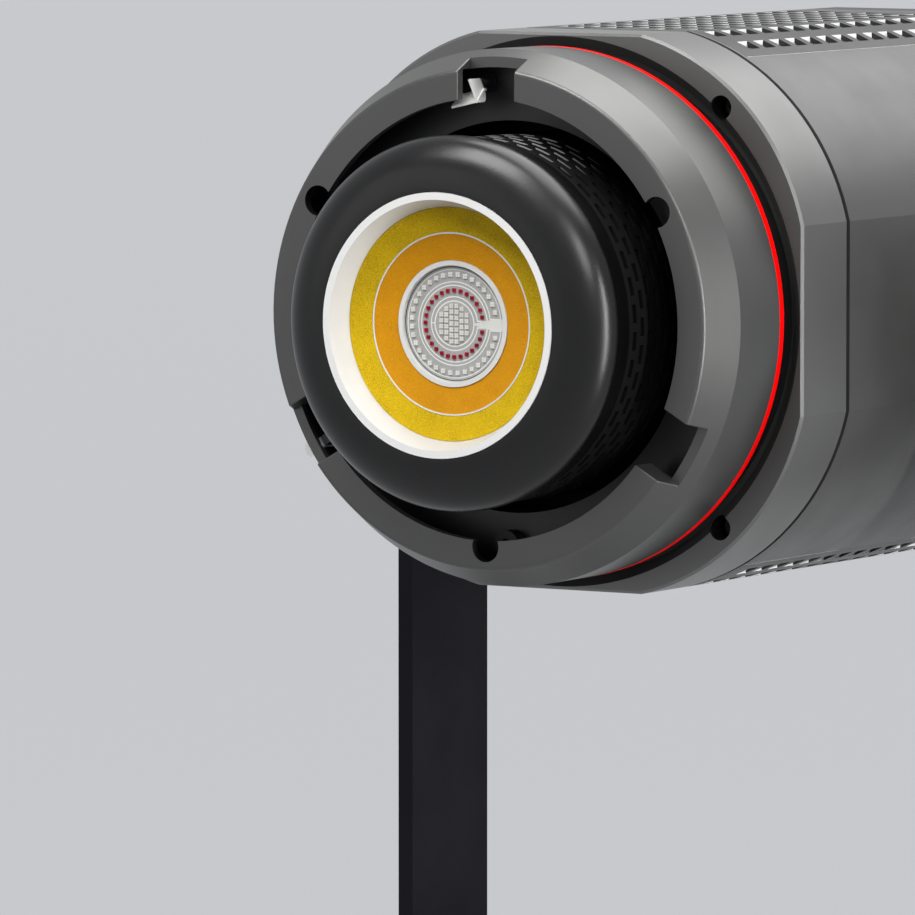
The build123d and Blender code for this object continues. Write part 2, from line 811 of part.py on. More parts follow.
# Ribs under the louvre panel, between the rows of its vents
rib_length = recess_length - 2 * panel_ledge - 2 * fit_clearance
rib_rear_depth = panel_rear_depth - panel_ledge - fit_clearance
with BuildPart() as panel_ribs:
    extrude(body_outline(rib_rear_depth, panel_thickness), amount=rib_length)
    extrude(
        body_outline(rib_rear_depth, panel_thickness + vent_rib_height),
        amount=rib_length,
        mode=Mode.SUBTRACT,
    )
    with BuildSketch(section(rib_rear_depth)):
        with Locations((0, body_half / 2)):
            with GridLocations(vent_row_pitch, body_half, vent_rows - 1, 1):
                Rectangle(vent_row_pitch - vent_width, body_half)
    extrude(amount=rib_length, mode=Mode.INTERSECT)

# Louvre panel of the top: a cover with rows of vents, each row set back from its neighbour
first_vent_depth = panel_front_depth + panel_ledge + vent_length / 2
last_vent_depth = panel_rear_depth - panel_ledge - vent_length / 2
with BuildPart() as top_louvre_panel:
    extrude(
        body_outline(panel_rear_depth - fit_clearance, 0),
        amount=recess_length - 2 * fit_clearance,
    )
    extrude(
        body_outline(panel_rear_depth, panel_thickness),
        amount=recess_length,
        mode=Mode.SUBTRACT,
    )
    with BuildSketch(section(panel_rear_depth)):
        with Locations((0, body_half / 2)):
            Rectangle(2 * (panel_half - fit_clearance), body_half)
    extrude(amount=recess_length, mode=Mode.INTERSECT)
    add(panel_ribs.part)
    with BuildSketch(level):
        for row in range(vent_rows):
            row_x = (row - (vent_rows - 1) / 2) * vent_row_pitch
            row_first_depth = first_vent_depth + row * vent_row_shift % vent_pitch
            for index in range(int((last_vent_depth - row_first_depth) / vent_pitch) + 1):
                with Locations((row_x, row_first_depth + index * vent_pitch - pivot_depth)):
                    Rectangle(vent_width, vent_length)
    extrude(amount=body_half + overrun, mode=Mode.SUBTRACT)
save(top_louvre_panel, "top_louvre_panel")

with BuildPart() as bottom_louvre_panel:
    add(mirror(top_louvre_panel.part, about=level, mode=Mode.PRIVATE))
save(bottom_louvre_panel, "bottom_louvre_panel")

# Brackets inside the flanks that take the load of the pivots
bracket_face = body_flat_half - body_wall
with BuildPart() as tilt_brackets:
    for side in (-1, 1):
        with BuildSketch(sideways(side * bracket_face)):
            RectangleRounded(2 * bracket_half_length, 2 * bracket_half_height, bracket_corner)
            Circle(pivot_bolt_radius + running_clearance, mode=Mode.SUBTRACT)
        extrude(amount=-side * bracket_thickness)
save(tilt_brackets, "tilt_brackets")

# Round bosses between the flanks and the arms, and the friction washers on them
boss_end = body_flat_half + boss_pivot_length
with BuildPart() as pivot_bosses:
    for side in (-1, 1):
        with BuildSketch(sideways(side * body_flat_half)):
            Circle(boss_pivot_radius)
            Circle(pivot_bolt_radius + running_clearance, mode=Mode.SUBTRACT)
        extrude(amount=side * boss_pivot_length)
    boss_rims = pivot_bosses.edges().filter_by(GeomType.CIRCLE).group_by(Axis.X)
    chamfer([edge for edge in boss_rims[0] if edge.radius > washer_radius], length=boss_edge_chamfer)
    chamfer([edge for edge in boss_rims[-1] if edge.radius > washer_radius], length=boss_edge_chamfer)
save(pivot_bosses, "pivot_bosses")

with BuildPart() as friction_washers:
    for side in (-1, 1):
        with BuildSketch(sideways(side * boss_end)):
            Circle(washer_radius)
            Circle(pivot_bolt_radius + running_clearance, mode=Mode.SUBTRACT)
        extrude(amount=side * (arm_gap_half - moving_clearance - boss_end))
save(friction_washers, "friction_washers")

# Pivot bolts: heads inside the brackets, shanks through the arms
bolt_seat = bracket_face - bracket_thickness
hub_start = strap_outer_half + moving_clearance
cap_starts = ((-1, hub_start), (1, hub_start + tilt_knob_length + moving_clearance))
with BuildPart() as pivot_bolts:
    for side, cap_start in cap_starts:
        with BuildSketch(sideways(side * bolt_seat)):
            RegularPolygon(pivot_bolt_head_radius, 6)
        extrude(amount=-side * pivot_bolt_head_height)
        with BuildSketch(sideways(side * bolt_seat)):
            Circle(pivot_bolt_radius)
        extrude(amount=side * (cap_start + pivot_cap_height / 2 - bolt_seat))
save(pivot_bolts, "pivot_bolts")

with BuildPart() as pivot_caps:
    for side, cap_start in cap_starts:
        with BuildSketch(sideways(side * cap_start)):
            Circle(pivot_cap_radius)
        extrude(amount=side * pivot_cap_height)
        with BuildSketch(sideways(side * cap_start)):
            Circle(pivot_bolt_radius)
        extrude(amount=side * pivot_cap_height / 2, mode=Mode.SUBTRACT)
save(pivot_caps, "pivot_caps")

# Tilt knob on the right arm
with BuildPart() as tilt_knob:
    with BuildSketch(sideways(hub_start + tilt_knob_hub_length)):
        Circle(tilt_knob_radius)
        with PolarLocations(tilt_knob_radius, tilt_knob_lobes):
            Circle(tilt_knob_lobe_radius)
    extrude(amount=tilt_knob_length - tilt_knob_hub_length)
    fillet(tilt_knob.faces().sort_by(Axis.X)[-1].edges(), radius=tilt_knob_fillet)
    with BuildSketch(sideways(hub_start)):
        Circle(tilt_knob_hub_radius)
    extrude(amount=tilt_knob_hub_length)
    with BuildSketch(sideways(hub_start)):
        Circle(pivot_bolt_radius + running_clearance)
    extrude(amount=tilt_knob_length, mode=Mode.SUBTRACT)
save(tilt_knob, "tilt_knob")

# Emitter board and what stands on it
board_rear_depth = emitter_board_depth + emitter_board_thickness
with BuildPart() as emitter_board:
    with BuildSketch(section(board_rear_depth)):
        Circle(emitter_board_radius)
    extrude(amount=emitter_board_thickness)
save(emitter_board, "emitter_board")

with BuildPart() as emitter_dam:
    with BuildSketch(section(emitter_board_depth)):
        Circle(dam_outer_radius)
        Circle(dam_inner_radius, mode=Mode.SUBTRACT)
    extrude(amount=dam_height)
save(emitter_dam, "emitter_dam")

outer_step = 360 / outer_emitter_places
with BuildPart() as outer_emitters:
    with BuildSketch(section(emitter_board_depth)):
        with PolarLocations(
            outer_emitter_circle,
            outer_emitter_places - 2,
            start_angle=outer_step * 3 / 2,
            angular_range=360 - 3 * outer_step,
            endpoint=True,
            rotate=False,
        ):
            Rectangle(outer_emitter_size, outer_emitter_size)
    extrude(amount=emitter_height)
save(outer_emitters, "outer_emitters")

red_step = 360 / red_emitter_places
with BuildPart() as red_emitters:
    with BuildSketch(section(emitter_board_depth)):
        with PolarLocations(
            red_emitter_circle,
            red_emitter_places - 1,
            start_angle=red_step,
            angular_range=360 - 2 * red_step,
            endpoint=True,
            rotate=False,
        ):
            Rectangle(red_emitter_size, red_emitter_size)
    extrude(amount=emitter_height)
save(red_emitters, "red_emitters")

with BuildPart() as centre_emitters:
    with BuildSketch(section(emitter_board_depth)):
        for column, count in enumerate(centre_emitter_columns):
            column_x = (column - (len(centre_emitter_columns) - 1) / 2) * centre_emitter_pitch
            with Locations((column_x, 0)):
                with GridLocations(centre_emitter_pitch, centre_emitter_pitch, 1, count):
                    Rectangle(centre_emitter_size, centre_emitter_size)
    extrude(amount=emitter_height)
save(centre_emitters, "centre_emitters")

# Glow rings: two shallow cones round the dam with a thin rim between them
with BuildPart() as inner_glow_ring:
    with BuildSketch(lengthwise):
        Polygon(
            (inner_glow_front_depth, dam_outer_radius + fit_clearance),
            (glow_meeting_depth, divider_inner_radius),
            (emitter_board_depth, divider_inner_radius),
            (emitter_board_depth, dam_outer_radius + fit_clearance),
        )
    revolve(axis=optical_axis)
save(inner_glow_ring, "inner_glow_ring")

with BuildPart() as glow_divider:
    with BuildSketch(section(emitter_board_depth)):
        Circle(divider_outer_radius)
        Circle(divider_inner_radius, mode=Mode.SUBTRACT)
    extrude(amount=emitter_board_depth - divider_depth)
save(glow_divider, "glow_divider")

with BuildPart() as outer_glow_ring:
    with BuildSketch(lengthwise):
        Polygon(
            (glow_meeting_depth, divider_outer_radius),
            (outer_glow_front_depth, cup_floor_radius - fit_clearance),
            (emitter_board_depth, cup_floor_radius - fit_clearance),
            (emitter_board_depth, divider_outer_radius),
        )
    revolve(axis=optical_axis)
save(outer_glow_ring, "outer_glow_ring")

# Reflector cup
with BuildPart() as reflector_cup:
    with BuildSketch(lengthwise):
        Polygon(
            (cup_rim_depth, cup_rim_radius),
            (cup_rim_depth, cup_outer_radius),
            (board_rear_depth, cup_outer_radius),
            (board_rear_depth, emitter_board_radius + fit_clearance),
            (emitter_board_depth, emitter_board_radius + fit_clearance),
            (emitter_board_depth, cup_floor_radius),
            (outer_glow_front_depth, cup_floor_radius),
        )
    revolve(axis=optical_axis)
save(reflector_cup, "reflector_cup")

# Front cap: the rounded nose round the cup
cap_bore_radius = cup_outer_radius + fit_clearance
cap_recess_radius = spreader_radius + fit_clearance
with BuildPart() as front_cap:
    with BuildSketch(lengthwise):
        with BuildLine():
            brow = EllipticalCenterArc(
                (cap_crest_depth, cap_shoulder_radius),
                cap_crest_depth - cap_front_depth,
                cap_crest_radius - cap_shoulder_radius,
                start_angle=90,
                arc_size=90,
            )
            Polyline(
                brow @ 1,
                (cap_front_depth, cap_bore_radius),
                (board_rear_depth, cap_bore_radius),
                (board_rear_depth, cap_recess_radius),
                (cap_rear_depth, cap_recess_radius),
                (cap_rear_depth, cap_rear_radius),
                brow @ 0,
            )
        make_face()
    revolve(axis=optical_axis)
save(front_cap, "front_cap")

# Heat spreader behind the emitter board, with a hole for each heat pipe
with BuildPart() as heat_spreader:
    with BuildSketch(section(board_rear_depth + spreader_thickness)):
        Circle(spreader_radius)
        with PolarLocations(pipe_circle_radius, pipe_count):
            Circle(pipe_radius + running_clearance, mode=Mode.SUBTRACT)
    extrude(amount=spreader_thickness)
save(heat_spreader, "heat_spreader")

# Vent sleeve: the tube behind the cap, with staggered rows of slots between ribs
with BuildPart() as vent_sleeve:
    with BuildSketch(section(sleeve_rear_depth)):
        Circle(sleeve_radius)
        Circle(sleeve_radius - sleeve_wall, mode=Mode.SUBTRACT)
    extrude(amount=sleeve_rear_depth - cap_rear_depth)
    for row in range(sleeve_slot_rows):
        row_depth = sleeve_slot_first_depth + row * sleeve_slot_pitch
        with BuildSketch(section(row_depth + sleeve_slot_height)):
            Circle(sleeve_radius + overrun)
            Circle(sleeve_radius - sleeve_wall - overrun, mode=Mode.SUBTRACT)
            with PolarLocations(
                sleeve_radius, sleeve_ribs, start_angle=(row % 2) * 180 / sleeve_ribs
            ):
                Rectangle(
                    2 * (sleeve_wall + 2 * overrun), sleeve_rib_width, mode=Mode.SUBTRACT
                )
        extrude(amount=sleeve_slot_height, mode=Mode.SUBTRACT)
save(vent_sleeve, "vent_sleeve")

# Sink base: the plate that carries the light engine and closes the front of the body
with BuildPart() as sink_base:
    with BuildSketch(section(web_rear_depth + sink_base_thickness)):
        Circle(sink_base_radius)
        with PolarLocations(pipe_circle_radius, pipe_count):
            Circle(pipe_radius + running_clearance, mode=Mode.SUBTRACT)
    extrude(amount=sink_base_thickness)
save(sink_base, "sink_base")

# Heat pipes and the fins they carry, as many as fit in front of the fan
fan_front_depth = body_rear_depth - fan_setback
fin_first_depth = web_rear_depth + sink_base_thickness + fin_first_gap
fin_count = int((fan_front_depth - fin_last_gap - fin_first_depth) / fin_pitch) + 1
fin_last_depth = fin_first_depth + fin_pitch * (fin_count - 1) + fin_thickness
pipe_end_depth = fin_last_depth + pipe_overhang
with BuildPart() as heat_pipes:
    with BuildSketch(section(pipe_end_depth)):
        with PolarLocations(pipe_circle_radius, pipe_count):
            Circle(pipe_radius)
    extrude(amount=pipe_end_depth - board_rear_depth)
save(heat_pipes, "heat_pipes")

with BuildPart() as cooling_fins:
    for index in range(fin_count):
        fin_depth = fin_first_depth + index * fin_pitch
        with BuildSketch(section(fin_depth + fin_thickness)):
            Circle(fin_circle_radius)
            Rectangle(2 * fin_half, 2 * fin_half, mode=Mode.INTERSECT)
            with PolarLocations(pipe_circle_radius, pipe_count):
                Circle(pipe_radius + running_clearance, mode=Mode.SUBTRACT)
        extrude(amount=fin_thickness)
save(cooling_fins, "cooling_fins")

# Fan: a square frame with a spider and a stub shaft, and the rotor on it
fan_rear_depth = fan_front_depth + fan_thickness
spider_front_depth = fan_rear_depth - fan_strut_thickness
rotor_rear_depth = spider_front_depth - moving_clearance
rotor_front_depth = rotor_rear_depth - fan_hub_length
with BuildPart() as fan_frame:
    with BuildSketch(section(fan_rear_depth)):
        Rectangle(2 * fan_half, 2 * fan_half)
    extrude(amount=fan_thickness)
    extrude(
        body_outline(fan_rear_depth, body_wall + moving_clearance),
        amount=fan_thickness,
        mode=Mode.INTERSECT,
    )
    with BuildSketch(section(fan_rear_depth)):
        Circle(fan_bore_radius)
    extrude(amount=fan_thickness, mode=Mode.SUBTRACT)
    with BuildSketch(section(fan_rear_depth)):
        Circle(fan_hub_radius)
        Rectangle(2 * fan_bore_radius + overrun, fan_strut_width)
        Rectangle(fan_strut_width, 2 * fan_bore_radius + overrun)
    extrude(amount=fan_strut_thickness)
    with BuildSketch(section(fan_rear_depth)):
        Circle(fan_shaft_radius)
    extrude(amount=fan_rear_depth - rotor_front_depth)
save(fan_frame, "fan_frame")

rotor_middle_depth = (rotor_front_depth + rotor_rear_depth) / 2
blade_length = fan_blade_radius - fan_hub_radius / 2
with BuildPart(section(rotor_middle_depth)) as fan_rotor:
    Cylinder(fan_hub_radius, fan_hub_length)
    with PolarLocations(fan_blade_radius - blade_length / 2, fan_blade_count):
        Box(
            blade_length,
            fan_blade_chord,
            fan_blade_thickness,
            rotation=(fan_blade_tilt, 0, 0),
        )
    Cylinder(fan_shaft_radius + running_clearance, 2 * fan_hub_length, mode=Mode.SUBTRACT)
save(fan_rotor, "fan_rotor")

# Driver board with its power parts, held between the fan frame and the control board
driver_board_depth = body_rear_depth - driver_board_setback
driver_rear_depth = driver_board_depth + board_thickness
with BuildPart() as driver_board:
    with BuildSketch(section(driver_rear_depth)):
        Rectangle(driver_board_width, driver_board_height)
    extrude(amount=board_thickness)
save(driver_board, "driver_board")

with BuildPart() as power_parts:
    with BuildSketch(section(driver_board_depth)):
        with Locations((-driver_board_width * transformer_place_share, 0)):
            Rectangle(transformer_width, transformer_height)
    extrude(amount=transformer_length)
    with BuildSketch(section(driver_board_depth)):
        with Locations((driver_board_width * part_place_share, driver_board_height * part_place_share)):
            Circle(choke_radius)
            Circle(choke_hole_radius, mode=Mode.SUBTRACT)
    extrude(amount=choke_length)
    with BuildSketch(section(driver_board_depth)):
        with Locations((driver_board_width * part_place_share, -driver_board_height * part_place_share)):
            with GridLocations(capacitor_pitch, capacitor_pitch, 3, 1):
                Circle(capacitor_radius)
    extrude(amount=capacitor_length)
save(power_parts, "power_parts")

cover_rear_depth = body_rear_depth + cover_length
control_board_depth = cover_rear_depth - control_board_setback
control_rear_depth = control_board_depth + board_thickness
cover_inner_depth = cover_rear_depth - cover_wall
with BuildPart() as board_standoffs:
    for start, end in (
        (fan_rear_depth, driver_board_depth),
        (driver_rear_depth, control_board_depth),
        (control_rear_depth, cover_inner_depth),
    ):
        with BuildSketch(section(end)):
            with GridLocations(2 * standoff_x, 2 * standoff_z, 2, 2):
                Circle(standoff_radius)
        extrude(amount=end - start)
save(board_standoffs, "board_standoffs")

# Control board with the display, the two encoders and the push switches
with BuildPart() as control_board:
    with BuildSketch(section(control_rear_depth)):
        Rectangle(control_board_width, control_board_height)
    extrude(amount=board_thickness)
save(control_board, "control_board")

window_rear_depth = cover_rear_depth
window_seat_depth = cover_rear_depth - window_thickness
display_width = window_width - 2 * display_border
display_height = window_height - 2 * display_border
with BuildPart() as display_module:
    with BuildSketch(section(window_seat_depth)):
        with Locations((0, window_z)):
            Rectangle(display_width, display_height)
    extrude(amount=window_seat_depth - control_rear_depth)
save(display_module, "display_module")

with BuildPart() as display_window:
    with BuildSketch(section(window_rear_depth)):
        with Locations((0, window_z)):
            RectangleRounded(
                window_width - 2 * fit_clearance, window_height - 2 * fit_clearance, window_corner
            )
    extrude(amount=window_thickness)
save(display_window, "display_window")

button_places = [
    ((index - (button_count - 1) / 2) * button_pitch, button_z) for index in range(button_count)
]
button_rear_depth = cover_rear_depth + button_proud
button_front_depth = button_rear_depth - button_length
switch_rear_depth = button_front_depth - button_travel - moving_clearance / 2
encoder_rear_depth = control_rear_depth + encoder_length
shaft_end_depth = cover_rear_depth + encoder_shaft_end
with BuildPart() as panel_switches:
    for side in (-1, 1):
        with BuildSketch(section(encoder_rear_depth)):
            with Locations((side * dial_x, dial_z)):
                Rectangle(encoder_size, encoder_size)
        extrude(amount=encoder_length)
        with BuildSketch(section(shaft_end_depth)):
            with Locations((side * dial_x, dial_z)):
                Circle(encoder_shaft_radius)
        extrude(amount=shaft_end_depth - encoder_rear_depth)
    with BuildSketch(section(switch_rear_depth)):
        with Locations(*button_places):
            Rectangle(tact_switch_size, tact_switch_size)
    extrude(amount=switch_rear_depth - control_rear_depth)
save(panel_switches, "panel_switches")

# Dials that turn on the encoder shafts
dial_front_depth = cover_rear_depth + dial_skirt_gap
dial_rear_depth = dial_front_depth + dial_length
for side, dial_name in ((-1, "dial_left"), (1, "dial_right")):
    with BuildPart() as dial:
        with BuildSketch(section(dial_rear_depth)):
            with Locations((side * dial_x, dial_z)):
                Circle(dial_radius)
        extrude(amount=dial_length)
        chamfer(dial.faces().sort_by(Axis.Y)[-1].edges(), length=dial_edge_chamfer)
        with BuildSketch(section(dial_rear_depth)):
            with Locations((side * dial_x, dial_z)):
                with PolarLocations(dial_radius, dial_flutes):
                    Circle(dial_flute_radius)
        extrude(amount=dial_flute_length, mode=Mode.SUBTRACT)
        with BuildSketch(section(shaft_end_depth + moving_clearance)):
            with Locations((side * dial_x, dial_z)):
                Circle(encoder_shaft_radius + running_clearance)
        extrude(amount=shaft_end_depth - cover_rear_depth, mode=Mode.SUBTRACT)
    save(dial, dial_name)

# Push buttons
for index, place in enumerate(button_places):
    with BuildPart() as button:
        with BuildSketch(section(button_rear_depth)):
            with Locations(place):
                Circle(button_radius)
        extrude(amount=button_length)
        fillet(button.faces().sort_by(Axis.Y)[-1].edges(), radius=button_edge_fillet)
    save(button, f"button_{index + 1}")

# Power rocker: a disc segment that tips on a pin along X
rocker_axis_depth = cover_inner_depth + rocker_floor / 2
rocker_plane = Plane(
    origin=(rocker_x, rocker_axis_depth - pivot_depth, axis_height + rocker_z),
    x_dir=(0, 1, 0),
    z_dir=(1, 0, 0),
)
rocker_slope = math.tan(math.radians(rocker_angle)) * rocker_radius
with BuildPart() as power_rocker:
    with BuildSketch(rocker_plane):
        Circle(rocker_radius)
        Polygon(
            (-rocker_floor, -rocker_radius),
            (rocker_crest + 2 * rocker_slope, -rocker_radius),
            (rocker_crest, 0),
            (rocker_crest, rocker_radius),
            (-rocker_floor, rocker_radius),
            mode=Mode.INTERSECT,
        )
    extrude(amount=rocker_width / 2, both=True)
    with BuildSketch(rocker_plane):
        Circle(rocker_pin_radius)
    extrude(amount=rocker_width / 2 + rocker_pin_length, both=True)
save(power_rocker, "power_rocker")

# Power inlet: a round jack with a centre pin
jack_place = (socket_x, socket_z)
jack_mouth_depth = cover_rear_depth + socket_flange_thickness
with BuildPart() as power_inlet:
    with BuildSketch(section(jack_mouth_depth)):
        with Locations(jack_place):
            Circle(socket_flange_radius)
    extrude(amount=socket_flange_thickness)
    with BuildSketch(section(jack_mouth_depth)):
        with Locations(jack_place):
            Circle(socket_radius)
    extrude(amount=socket_length)
    with BuildSketch(section(jack_mouth_depth)):
        with Locations(jack_place):
            Circle(socket_bore_radius)
            Circle(socket_pin_radius, mode=Mode.SUBTRACT)
    extrude(amount=socket_bore_depth, mode=Mode.SUBTRACT)
save(power_inlet, "power_inlet")

# Update port: a small shell with a tongue
port_place = (0, socket_z)
with BuildPart() as data_port:
    with BuildSketch(section(cover_rear_depth)):
        with Locations(port_place):
            SlotOverall(usb_width, usb_height)
    extrude(amount=usb_length)
    with BuildSketch(section(cover_rear_depth)):
        with Locations(port_place):
            SlotOverall(usb_width - 2 * usb_wall, usb_height - 2 * usb_wall)
            Rectangle(usb_tongue_width, usb_tongue, mode=Mode.SUBTRACT)
    extrude(amount=usb_depth, mode=Mode.SUBTRACT)
save(data_port, "data_port")

# Rear cover: a tray that closes the shells and holds every control
rocker_hole_half = rocker_radius + moving_clearance
with BuildPart() as rear_cover:
    extrude(body_outline(cover_rear_depth, 0), amount=cover_rear_depth - body_rear_depth)
    fillet(rear_cover.faces().sort_by(Axis.Y)[-1].edges(), radius=cover_fillet)
    extrude(
        body_outline(cover_inner_depth, body_wall),
        amount=cover_inner_depth - body_rear_depth,
        mode=Mode.SUBTRACT,
    )
    with BuildSketch(section(cover_rear_depth)):
        with Locations((0, window_z)):
            RectangleRounded(window_width, window_height, window_corner)
    extrude(amount=window_thickness, mode=Mode.SUBTRACT)
    with BuildSketch(section(cover_rear_depth)):
        with Locations((0, window_z)):
            Rectangle(display_width + 2 * fit_clearance, display_height + 2 * fit_clearance)
        with Locations((-dial_x, dial_z), (dial_x, dial_z)):
            Circle(encoder_shaft_radius + moving_clearance)
        with Locations(*button_places):
            Circle(button_radius + moving_clearance)
        with Locations((rocker_x, rocker_z)):
            Rectangle(rocker_width + 2 * moving_clearance, 2 * rocker_hole_half)
        with Locations(jack_place):
            Circle(socket_radius + fit_clearance)
        with Locations(port_place):
            SlotOverall(usb_width + 2 * fit_clearance, usb_height + 2 * fit_clearance)
    extrude(amount=cover_wall + overrun, mode=Mode.SUBTRACT)
    with BuildSketch(rocker_plane):
        Circle(rocker_pin_radius + running_clearance)
    extrude(amount=rocker_width / 2 + rocker_pin_length + fit_clearance, both=True, mode=Mode.SUBTRACT)
save(rear_cover, "rear_cover")
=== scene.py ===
import json
import math

import bpy
from mathutils import Matrix, Vector

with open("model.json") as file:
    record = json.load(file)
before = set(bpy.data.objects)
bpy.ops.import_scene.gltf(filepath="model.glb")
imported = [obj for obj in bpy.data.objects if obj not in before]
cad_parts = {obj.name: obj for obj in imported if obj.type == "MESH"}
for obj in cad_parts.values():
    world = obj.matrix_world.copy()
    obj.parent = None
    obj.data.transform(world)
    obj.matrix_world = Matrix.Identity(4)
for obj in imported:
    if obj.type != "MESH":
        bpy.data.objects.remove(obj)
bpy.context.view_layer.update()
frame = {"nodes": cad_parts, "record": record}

# The height of the head's optical axis, the tilt pivot's depth behind the mount's front
# face, and two points on that axis, in metres of the part's own frame
AXIS_HEIGHT = 0.2515
PIVOT_DEPTH = 0.1225
HEAD_CENTRE = Vector((0, 0, AXIS_HEIGHT))
RING_FACE = Vector((0, -PIVOT_DEPTH, AXIS_HEIGHT))

# How far a flat wall has to face along an axis to count as turned that way
TURNED = 0.9

# Colours that several finishes share: a black that is the sleeve's paint and also painted shade
# down in channels, holes and vent ends, and those of the chips as face, dim face and cross
BLACK_PAINT_AND_SHADE = (0.004, 0.004, 0.004)
PALE_CHIP = ((0.88, 0.87, 0.81), (0.8, 0.79, 0.73), (0.62, 0.61, 0.56))
RED_CHIP = ((0.5, 0.008, 0.03), (0.3, 0.004, 0.018), (0.09, 0.002, 0.006))


class Wire:
    """A socket of a finish in the making. Arithmetic on it adds the nodes that work it out."""

    def __init__(self, finish, socket):
        self.finish = finish
        self.socket = socket

    def __add__(self, other):
        return self.finish.maths("ADD", self, other)

    def __radd__(self, other):
        return self.finish.maths("ADD", other, self)

    def __sub__(self, other):
        return self.finish.maths("SUBTRACT", self, other)

    def __rsub__(self, other):
        return self.finish.maths("SUBTRACT", other, self)

    def __mul__(self, other):
        return self.finish.maths("MULTIPLY", self, other)

    def __rmul__(self, other):
        return self.finish.maths("MULTIPLY", other, self)

    def __truediv__(self, other):
        return self.finish.maths("DIVIDE", self, other)

    def __pow__(self, other):
        return self.finish.maths("POWER", self, other)

    def __abs__(self):
        return self.finish.maths("ABSOLUTE", self)

    def __gt__(self, other):
        return self.finish.maths("GREATER_THAN", self, other)

    def __lt__(self, other):
        return self.finish.maths("LESS_THAN", self, other)


class Finish:
    """A material, or the world, that is put together node by node."""

    def __init__(self, name, owners=bpy.data.materials):
        self.owner = owners.new(name)
        self.owner.use_nodes = True
        self.nodes = self.owner.node_tree.nodes
        self.links = self.owner.node_tree.links
        self.nodes.clear()

    def add(self, kind, sockets=None, output=0, **settings):
        """Adds a node: its type, its settings, then the values or wires of its sockets."""
        node = self.nodes.new(kind)
        for name, value in settings.items():
            setattr(node, name, value)
        for name, value in (sockets or {}).items():
            if isinstance(value, Wire):
                self.links.new(value.socket, node.inputs[name])
            else:
                node.inputs[name].default_value = value
        return Wire(self, node.outputs[output]) if node.outputs else None

    def maths(self, operation, *values):
        """A Math node's result for one or two values."""
        return self.add("ShaderNodeMath", dict(enumerate(values)), operation=operation)

    def largest(self, first, *others):
        """The largest of several values."""
        for other in others:
            first = self.maths("MAXIMUM", first, other)
        return first

    def place(self):
        """Where a point of the piece is, in metres of the part's own frame."""
        return self.add("ShaderNodeTexCoord", output="Object")

    def axes(self):
        """A point's place on the head: across, behind the mount's face, above the optical axis."""
        place = self.place()
        x, y, z = [self.add("ShaderNodeSeparateXYZ", {0: place}, output=axis) for axis in "XYZ"]
        return x, y + PIVOT_DEPTH, z - AXIS_HEIGHT

    def facing(self, axis):
        """How far a flat surface faces along an axis of the part's own frame, from -1 to 1."""
        normal = self.add("ShaderNodeNewGeometry", output="True Normal")
        own = self.add(
            "ShaderNodeVectorTransform",
            {"Vector": normal},
            vector_type="NORMAL",
            convert_from="WORLD",
            convert_to="OBJECT",
        )
        return self.add("ShaderNodeSeparateXYZ", {0: own}, output=axis)

    def radius(self):
        """The distance from the optical axis."""
        across, _, up = self.axes()
        return diagonal(across, up)

    def noise(self, size, detail, stretch=None):
        """Smooth noise from 0 to 1 whose lumps are about as large as the given size."""
        place = self.place()
        if stretch:
            place = self.add(
                "ShaderNodeVectorMath", {0: place, 1: stretch}, operation="MULTIPLY"
            )
        return self.add(
            "ShaderNodeTexNoise",
            {"Vector": place, "Scale": 1 / size, "Detail": detail},
            output="Fac",
        )

    def spread(self, value, low, high, start=0.3, end=0.7):
        """Maps the value's range from start to end onto the range from low to high."""
        return self.add(
            "ShaderNodeMapRange",
            {"Value": value, "From Min": start, "From Max": end, "To Min": low, "To Max": high},
        )

    def blend(self, factor, first, second):
        """A colour between two others. A Mix node takes them at sockets 6 and 7, for output 2."""
        colours = [
            value if isinstance(value, Wire) else (*value, 1) for value in (first, second)
        ]
        return self.add(
            "ShaderNodeMix",
            {0: factor, 6: colours[0], 7: colours[1]},
            output=2,
            data_type="RGBA",
        )

    def bumps(self, height, depth, strength):
        """A normal for relief of the given depth in metres."""
        return self.add(
            "ShaderNodeBump",
            {"Height": height, "Distance": depth, "Strength": strength},
        )

    def backdrop_ray(self):
        """One for the rays that show the backdrop: seen, mirrored or through glass."""
        rays = ("Is Camera Ray", "Is Glossy Ray", "Is Transmission Ray")
        return self.largest(*[self.add("ShaderNodeLightPath", output=ray) for ray in rays])

    def shade(self, sockets):
        """Ends the material with its surface shader."""
        surface = self.add("ShaderNodeBsdfPrincipled", sockets)
        self.add("ShaderNodeOutputMaterial", {"Surface": surface})
        return self.owner


def diagonal(across, up):
    """The length of the slanted way between two points, from its two legs."""
    return (across * across + up * up) ** 0.5


def worn(finish, colour, amount, size=0.03):
    """The colour with broad, faint differences in tone, as handled surfaces have."""
    cloud = finish.noise(size, detail=4)
    darker = [channel * (1 - amount) for channel in colour]
    lighter = [channel * (1 + amount) for channel in colour]
    return finish.blend(finish.spread(cloud, low=0, high=1), darker, lighter)


def blasted_metal(finish, colour, metallic, roughness, relief):
    """Ends a finish as bead-blasted metal, whose roughness drifts between two values."""
    grain = finish.noise(size=0.00035, detail=2)
    smear = finish.noise(size=0.02, detail=3)
    return finish.shade(
        {
            "Base Color": colour,
            "Metallic": metallic,
            "Roughness": finish.spread(smear, *roughness),
            "Normal": finish.bumps(grain, depth=0.00003, strength=relief),
        }
    )


def shell_finish():
    """The dull anodised metal of the body's shells and the pivot bosses."""
    shell_grey = (0.08, 0.08, 0.078)

    finish = Finish("shell_anodising")
    skin = worn(finish, shell_grey, amount=0.06)
    return blasted_metal(finish, skin, metallic=0.55, roughness=(0.38, 0.47), relief=0.35)


